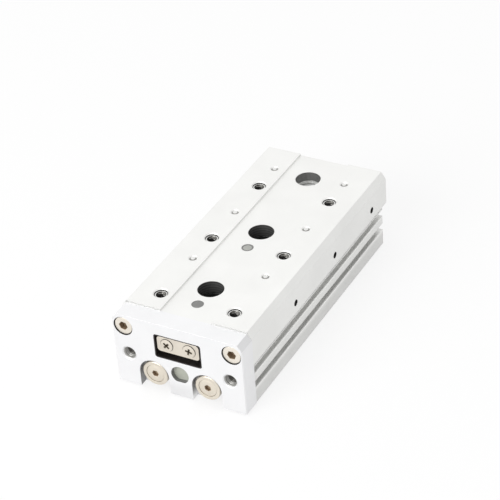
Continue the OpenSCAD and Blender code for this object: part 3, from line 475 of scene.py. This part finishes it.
def ring_points(place, inward, angle, radii, depths, turn=0.0):
    """Points of closed rings round an axis that starts at place and runs inward. Each ring has a
    depth along the axis and a radius at each angle. Two directions, side and other, stand square to
    the axis, and a point lies at place + depth * inward + radius * (cos * side + sin * other) of
    its angle plus the turn."""
    inward = np.asarray(inward, float)
    side = np.cross(inward, (0, 0, 1) if abs(inward[2]) < 0.9 else (0, 1, 0))
    side /= np.linalg.norm(side)
    other = np.cross(inward, side)
    circle = np.cos(angle + turn)[:, None] * side + np.sin(angle + turn)[:, None] * other
    middles = np.asarray(place, float) + np.asarray(depths, float)[:, None] * inward
    return (middles[:, None] + np.asarray(radii)[:, :, None] * circle).reshape(-1, 3)


def grid_faces(rows, columns):
    """Quads between neighbouring rows of points; every row closes on itself."""
    row, column = np.meshgrid(np.arange(rows - 1), np.arange(columns), indexing="ij")
    after = (column + 1) % columns
    quads = np.stack([row * columns + column, row * columns + after,
                      (row + 1) * columns + after, (row + 1) * columns + column], axis=-1)
    return quads.reshape(-1, 4)


def outline(angle, form, size, arm=0.0):
    """Radius of a closed outline at each angle. A circle has one radius. A hexagon's is its inner
    radius over the cosine of the angle to the nearest side. A cross has arms of length size and
    half width arm: the radius is the nearer of the arm's end and its side."""
    if form == "hex":
        return size / np.cos((angle + np.pi / 6) % (np.pi / 3) - np.pi / 6)
    if form == "cross":
        off_arm = np.abs((angle + np.pi / 4) % (np.pi / 2) - np.pi / 4)
        return np.minimum(size / np.cos(off_arm), arm / np.maximum(np.sin(off_arm), 1e-6))
    return np.full_like(angle, size)


def turned(profile, painted, place, inward, turn=0.0, angle=TURN):
    """A turned piece as points, quads and paint numbers. profile lists (form, size, arm, depth): an
    outline of that form at that depth behind place, measured along inward. painted gives the paint
    of some of the bands between two outlines, counted from nought; the others have paint 0."""
    radii = [outline(angle, form, size, arm) for form, size, arm, depth in profile]
    depths = [row[-1] for row in profile]
    bands = [painted.get(band, 0) for band in range(len(profile) - 1)]
    return (ring_points(place, inward, angle, radii, depths, turn),
            grid_faces(len(profile), len(angle)), np.repeat(bands, len(angle)))


def solid(name, parts, body, finishes, sharp=30):
    """Joins parts, each given as points in millimetres, quads and paint numbers, into one closed
    mesh: it merges equal points, turns faces outwards and keeps edges sharp that bend more than a
    given angle. A paint number is a place in the list of finishes."""
    points, faces, paints = zip(*parts)
    first = np.cumsum([0] + [len(part) for part in points[:-1]])
    faces = np.concatenate([quads + start for quads, start in zip(faces, first)])
    weld, shortest_edge = 1e-7, 1e-8
    mesh = bpy.data.meshes.new(name)
    mesh.from_pydata(np.concatenate(points) * MM, [], faces.tolist())
    for material in finishes:
        mesh.materials.append(material)
    mesh.polygons.foreach_set("material_index", np.concatenate(paints).astype(np.int32))
    work = bmesh.new()
    work.from_mesh(mesh)
    bmesh.ops.remove_doubles(work, verts=work.verts, dist=weld)
    bmesh.ops.dissolve_degenerate(work, edges=work.edges, dist=shortest_edge)
    bmesh.ops.recalc_face_normals(work, faces=work.faces)
    work.to_mesh(mesh)
    work.free()
    mesh.polygons.foreach_set("use_smooth", np.ones(len(mesh.polygons), bool))
    mesh.set_sharp_from_angle(angle=math.radians(sharp))
    made = bpy.data.objects.new(name, mesh)
    bpy.context.scene.collection.objects.link(made)
    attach(made, body)
    return made


# ---------------------------------------------------------------- screws and plugs
# the socket's paint is painted shade
SOCKET_BANDS = {0: 1, 1: 1, 2: 1}   # paint 1 in the socket, the first three bands of the profile


def socket_profile(head_r, head_h, shank_r, length, hex_r, socket, bevel):
    """Profile of a socket head screw, from the socket's middle over the head to the shank's end."""
    drill_point, socket_edge, socket_chamfer, tip = 0.5, 0.18, 0.16, 0.5
    return [("round", 0.0, 0, socket + drill_point), ("hex", hex_r, 0, socket),
            ("hex", hex_r, 0, socket_edge), ("hex", hex_r + socket_chamfer, 0, 0.0),
            ("round", head_r - bevel, 0, 0.0), ("round", head_r - bevel * 0.3, 0, bevel * 0.3),
            ("round", head_r, 0, bevel), ("round", head_r, 0, head_h), ("round", shank_r, 0, head_h),
            ("round", shank_r, 0, length - tip), ("round", shank_r - tip, 0, length),
            ("round", 0.0, 0, length)]


def make_end_plate_bolts():
    """Corner bolts of the end plate, with bevelled heads and sockets in painted shade. Each is
    tightened to another angle."""
    lo, hi, head_r, x, z = round_pair("end_plate_bolts")
    profile = socket_profile(head_r, head_h=5.0, shank_r=2.5, length=hi[1] - lo[1], hex_r=1.72,
                             socket=2.6, bevel=0.35)
    parts = [turned(profile, SOCKET_BANDS, (side, lo[1], z), REARWARD, turn=0.3 * side)
             for side in both(x)]
    made = solid("corner_bolts", parts, "moving_table",
                 [corner_finish, socket_shade_finish])
    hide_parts("end_plate_bolts")


def make_rod_end_bolts():
    """Low head bolts in the floating bushings, each tightened to another angle."""
    lo, hi, head_r, x, z = round_pair("rod_end_bolts")
    profile = socket_profile(head_r, head_h=2.3, shank_r=2.0, length=hi[1] - lo[1], hex_r=1.28,
                             socket=1.5, bevel=0.15)
    parts = [turned(profile, SOCKET_BANDS, (side, lo[1], z), REARWARD, turn=0.7 + 0.1 * side)
             for side in both(x)]
    made = solid("rod_end_screws", parts, "moving_table",
                 [bushing_finish, socket_shade_finish])
    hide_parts("rod_end_bolts")


# arms of a cross recess from its foot upwards: length, half width and depth
CROSS = [(0.75, 0.3, 1.3), (1.2, 0.36, 0.5), (1.6, 0.44, 0.12), (1.66, 0.48, 0.06)]
# bands of a cross recess screw: paint 1, painted shade, in the recess; paint 2, painted shadow, on the
# head's rim and in the gap round it
CROSS_BANDS = {0: 1, 1: 1, 2: 1, 3: 1, 8: 2, 9: 2}


def cross_profile(head_r, length, ring, rim):
    """Profile of a domed screw with a cross recess that narrows as it goes down. The dome falls by
    the square of the share of its radius. The head's rim is straight, and a ring of the given
    width, for painted shadow, lies round it."""
    r = head_r - ring
    dome_h, recess_depth, shank_r, tip_r, tip_l = 0.3, 1.45, 1.5, 1.1, 0.4
    foot = dome_h + rim
    arms = [("cross", arm_l, half, depth) for arm_l, half, depth in CROSS]
    dome = [("round", r * f, 0, dome_h * f * f) for f in (0.62, 0.8, 0.93, 1.0)]
    return [("round", 0.0, 0, recess_depth)] + arms + dome + [
            ("round", r, 0, foot), ("round", head_r, 0, foot),
            ("round", shank_r, 0, foot + head_r - shank_r),
            ("round", shank_r, 0, length - tip_l), ("round", tip_r, 0, length),
            ("round", 0.0, 0, length)]


def make_stopper_screws():
    """Cross recess screws of the two roller stoppers: domed heads that stand a little proud. The
    angles of the outline include the corners of the cross, so that its arms stay sharp."""
    lo, hi, head_r, x, z = round_pair("stopper_screws")
    cad_l, tip_gap, rise, ring = 6.5, 0.3, 0.85, 0.14
    arm_l, half = CROSS[-1][:2]
    corner = math.atan(half / arm_l)
    corners = [k * np.pi / 2 + side for k in range(4) for side in both(corner)]
    angle = np.unique(np.round(np.concatenate([TURN, np.mod(corners, 2 * np.pi)]), 9))
    profile = cross_profile(head_r, cad_l + rise - tip_gap, ring, rise)
    parts = [turned(profile, CROSS_BANDS, (side, y, z), (0, way, 0), turn * way, angle)
             for side, turn in zip(both(x), (0.72, 0.2))
             for y, way in ((lo[1] - rise, 1), (hi[1] + rise, -1))]
    made = solid("stopper_cross_screws", parts, "cylinder_body",
                 [finish["nickel_plated_steel"], cross_shade_finish, gap_shadow_finish])
    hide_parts("stopper_screws")


def make_guide_screws():
    """Screws that pull up the side guides. Their bevelled tips end just under the pads."""
    lo, hi = mm_box("guide_screws")
    head_r, head_h, shank_r, tip_r, bevel = 2.75, 2.0, 1.5, 1.0, 0.4
    hex_r, socket, rise = 1.25, 1.1, 0.6
    x = hi[0] - head_r
    length = hi[2] + rise - lo[2]
    profile = [("round", 0.0, 0, 0.0), ("round", tip_r, 0, 0.0), ("round", shank_r, 0, bevel),
               ("round", shank_r, 0, length - head_h), ("round", head_r, 0, length - head_h),
               ("round", head_r, 0, length), ("hex", hex_r, 0, length),
               ("hex", hex_r, 0, length - socket), ("round", 0.0, 0, length - socket)]
    # paint 1, painted shade, on the tip's bevel and the shank
    flank = {1: 1, 2: 1}
    parts = [turned(profile, flank, (side, y, hi[2] + rise), DOWN)
             for side in both(x) for y in three_rows(lo, hi, head_r)]
    made = solid("guide_screw_set", parts, "moving_table",
                 [crest_finish, flank_shade_finish])
    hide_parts("guide_screws")


def make_locating_plugs():
    """Flush grey plugs. A fine groove runs round each, and the middle of the second one is paler."""
    lo, hi = mm_box("locating_plugs")
    r = hi[0]
    plug_h = hi[2] - lo[2]
    groove_r, groove_half, groove_depth, chamfer = r - 0.4, 0.35, 0.12, 0.1
    profile = [("round", 0.0, 0, 0.0), ("round", groove_r - groove_half, 0, 0.0),
               ("round", groove_r, 0, groove_depth), ("round", r - chamfer, 0, 0.0),
               ("round", r, 0, chamfer), ("round", r, 0, plug_h), ("round", 0.0, 0, plug_h)]
    parts = [turned(profile, {0: middle}, (0, y, hi[2]), DOWN)
             for y, middle in ((lo[1] + r, 0), (hi[1] - r, 1))]
    made = solid("locating_plug_set", parts, "moving_table",
                 [plug_finish, pale_plug_finish])
    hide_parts("locating_plugs")


# ---------------------------------------------------------------- threads
def thread_sleeve(place, inward, minor_r, outer_r, length, pitch, mouth, dark_from, edge, sink=0.0,
                  shaded=0.0):
    """Sleeve with a thread inside. The inner wall is a grid of angle and depth. Its radius is the
    minor radius plus the thread's depth times a triangle wave with its tips cut off, whose phase is
    depth over pitch less the share of a turn; at the mouth it fades out into a bevel. A thin collar
    stands sink above the ring round the mouth, and the outer wall closes it. Paint 0 is the ring,
    and the others are painted shade: 1 the bevel and the crests, 2 the roots, 3 the darkest: the
    collar with its foot, and all that lies deeper than dark_from, which is less by up to the share
    shaded on the side away from the light."""
    columns, rows_per_turn, thread_h, lit_side = 48, 8, 0.4 * pitch, -np.pi / 6
    angle = np.linspace(0, 2 * np.pi, columns, endpoint=False)
    depth = np.linspace(sink + mouth, length, int(length / pitch * rows_per_turn))
    phase = (depth[:, None] / pitch - angle / (2 * np.pi)) % 1.0
    wave_h, wave_drop = 1.6, 0.3
    wave = np.clip(wave_h * (1 - np.abs(2 * phase - 1)) - wave_drop, 0, 1)
    fade = np.clip((depth - depth[0]) / (0.5 * pitch), 0, 1)[:, None]
    radius = minor_r + thread_h * (wave * fade + (1 - fade))

    collar_r = outer_r - edge / 5
    rim_r = [outer_r, outer_r, collar_r, collar_r, outer_r - edge, minor_r + thread_h + mouth]
    rim_depth = [length, 0.0, 0.0, sink, sink, sink]
    radii = np.concatenate([np.tile(rim_r, (columns, 1)).T, radius, np.full((1, columns), outer_r)])
    depths = np.concatenate([rim_depth, depth, [length]])

    row = np.arange(len(depths) - 1)[:, None]
    collar = (row >= 1) & (row <= 3)
    bevel = row == 5
    thread = (row >= 6) & (row < len(depths) - 2)
    band_r = (radii[:-1] + radii[1:]) / 2
    band_depth = ((depths[:-1] + depths[1:]) / 2)[:, None]
    away = 0.5 - 0.5 * np.cos(angle - lit_side)
    dark = band_depth > dark_from * (1 - shaded * away)
    root = band_r > minor_r + thread_h / 2
    # paints 1 to 3 are painted shade for the collar, the depth, the roots, the crests and the bevel
    paints = np.select([collar | (thread & dark), thread & root, thread | bevel], [3, 2, 1], 0)
    return (ring_points(place, inward, angle, radii, depths), grid_faces(len(depths), columns),
            paints.ravel())


def make_thread_inserts():
    """Threaded steel inserts in the pads of the table."""
    lo, hi = mm_box("thread_inserts")
    r = 3.0
    parts = [thread_sleeve((side, y, hi[2]), DOWN, minor_r=1.95, outer_r=r, length=hi[2] - lo[2],
                           pitch=0.8, mouth=0.05, dark_from=2.8, edge=0.3, sink=0.3, shaded=0.75)
             for side in both(hi[0] - r) for y in three_rows(lo, hi, r)]
    made = solid("table_thread_inserts", parts, "moving_table",
                 [crest_finish, flank_shade_finish, root_shade_finish, deep_shade_finish], sharp=40)
    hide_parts("thread_inserts")


def make_end_plate_inserts():
    """Threaded steel inserts in the front face. Their pitch is 0.1 mm coarser than real, so that
    the thread shows."""
    lo, hi, r, x, z = round_pair("end_plate_inserts")
    parts = [thread_sleeve((side, lo[1], z), REARWARD, minor_r=2.15, outer_r=r,
                           length=hi[1] - lo[1], pitch=0.9, mouth=0.35, dark_from=2.4, edge=0.05)
             for side in both(x)]
    made = solid("front_thread_inserts", parts, "moving_table",
                 [crest_finish, mouth_shade_finish, flank_shade_finish, shaded_finish], sharp=40)
    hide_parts("end_plate_inserts")


make_end_plate_bolts()
make_rod_end_bolts()
make_stopper_screws()
make_thread_inserts()
make_end_plate_inserts()
make_guide_screws()
make_locating_plugs()


# ---------------------------------------------------------------- stage and light
WHITE = linear("#FFFFFF")


def seen(tree):
    """One for rays that the camera, gloss and glass send out, and nought for those of soft light."""
    path = add(tree, "ShaderNodeLightPath").outputs
    return union(tree, path["Is Camera Ray"], path["Is Glossy Ray"], path["Is Transmission Ray"])


def make_floor():
    """White sweep: a large flat floor that stays white for the camera and keeps the soft shadow."""
    reach, drop = 3.0, 0.0002
    # the camera sees little of the paper's light and shadow, under a glow that makes up the white
    shade, glow_strength = 0.2, 0.79
    mesh = bpy.data.meshes.new("floor")
    mesh.from_pydata([(-reach, -reach, 0), (reach, -reach, 0), (reach, reach, 0), (-reach, reach, 0)],
                     [], [(0, 1, 2, 3)])
    floor = bpy.data.objects.new("floor", mesh)
    floor.location.z = -drop
    bpy.context.scene.collection.objects.link(floor)
    made = bpy.data.materials.new("white_paper_sweep")
    tree = empty_tree(made)
    paper = add(tree, "ShaderNodeBsdfDiffuse", values={"Color": linear("#D8D8D8")})
    veil = add(tree, "ShaderNodeBsdfDiffuse", values={"Color": (shade, shade, shade, 1)})
    glow = add(tree, "ShaderNodeEmission", values={"Color": WHITE, "Strength": glow_strength})
    bright = add(tree, "ShaderNodeAddShader", links={0: veil.outputs[0], 1: glow.outputs[0]})
    pick = add(tree, "ShaderNodeMixShader",
               links={0: seen(tree), 1: paper.outputs[0], 2: bright.outputs[0]})
    add(tree, "ShaderNodeOutputMaterial", links={"Surface": pick.outputs[0]})
    mesh.materials.append(made)


def make_world():
    """White surroundings for what the camera, gloss and glass see, and plain soft light for the rest."""
    world = bpy.data.worlds.new("studio")
    bpy.context.scene.world = world
    tree = empty_tree(world)
    white = add(tree, "ShaderNodeBackground", values={"Color": WHITE, "Strength": 1.0})
    soft = add(tree, "ShaderNodeBackground", values={"Color": WHITE, "Strength": 0.6})
    pick = add(tree, "ShaderNodeMixShader",
               links={0: seen(tree), 1: soft.outputs[0], 2: white.outputs[0]})
    add(tree, "ShaderNodeOutputWorld", links={"Surface": pick.outputs[0]})


def lamp(name, place, size, power):
    """Soft box: a square area lamp that looks at the middle of the object."""
    aim = Vector((0, 0, 0.02))
    data = bpy.data.lights.new(name, "AREA")
    data.shape = "SQUARE"
    data.size = size
    data.energy = power
    made = bpy.data.objects.new(name, data)
    made.location = place
    made.rotation_euler = (Vector(place) - aim).to_track_quat("Z", "Y").to_euler()
    bpy.context.scene.collection.objects.link(made)


make_floor()
make_world()
lamp("front_soft_box", (-0.5, -1.5, 0.8), size=1.2, power=20.5)
lamp("top_soft_box", (-0.1, 0.1, 1.7), size=1.2, power=5.7)

scene = bpy.context.scene
scene.view_settings.view_transform = "Standard"
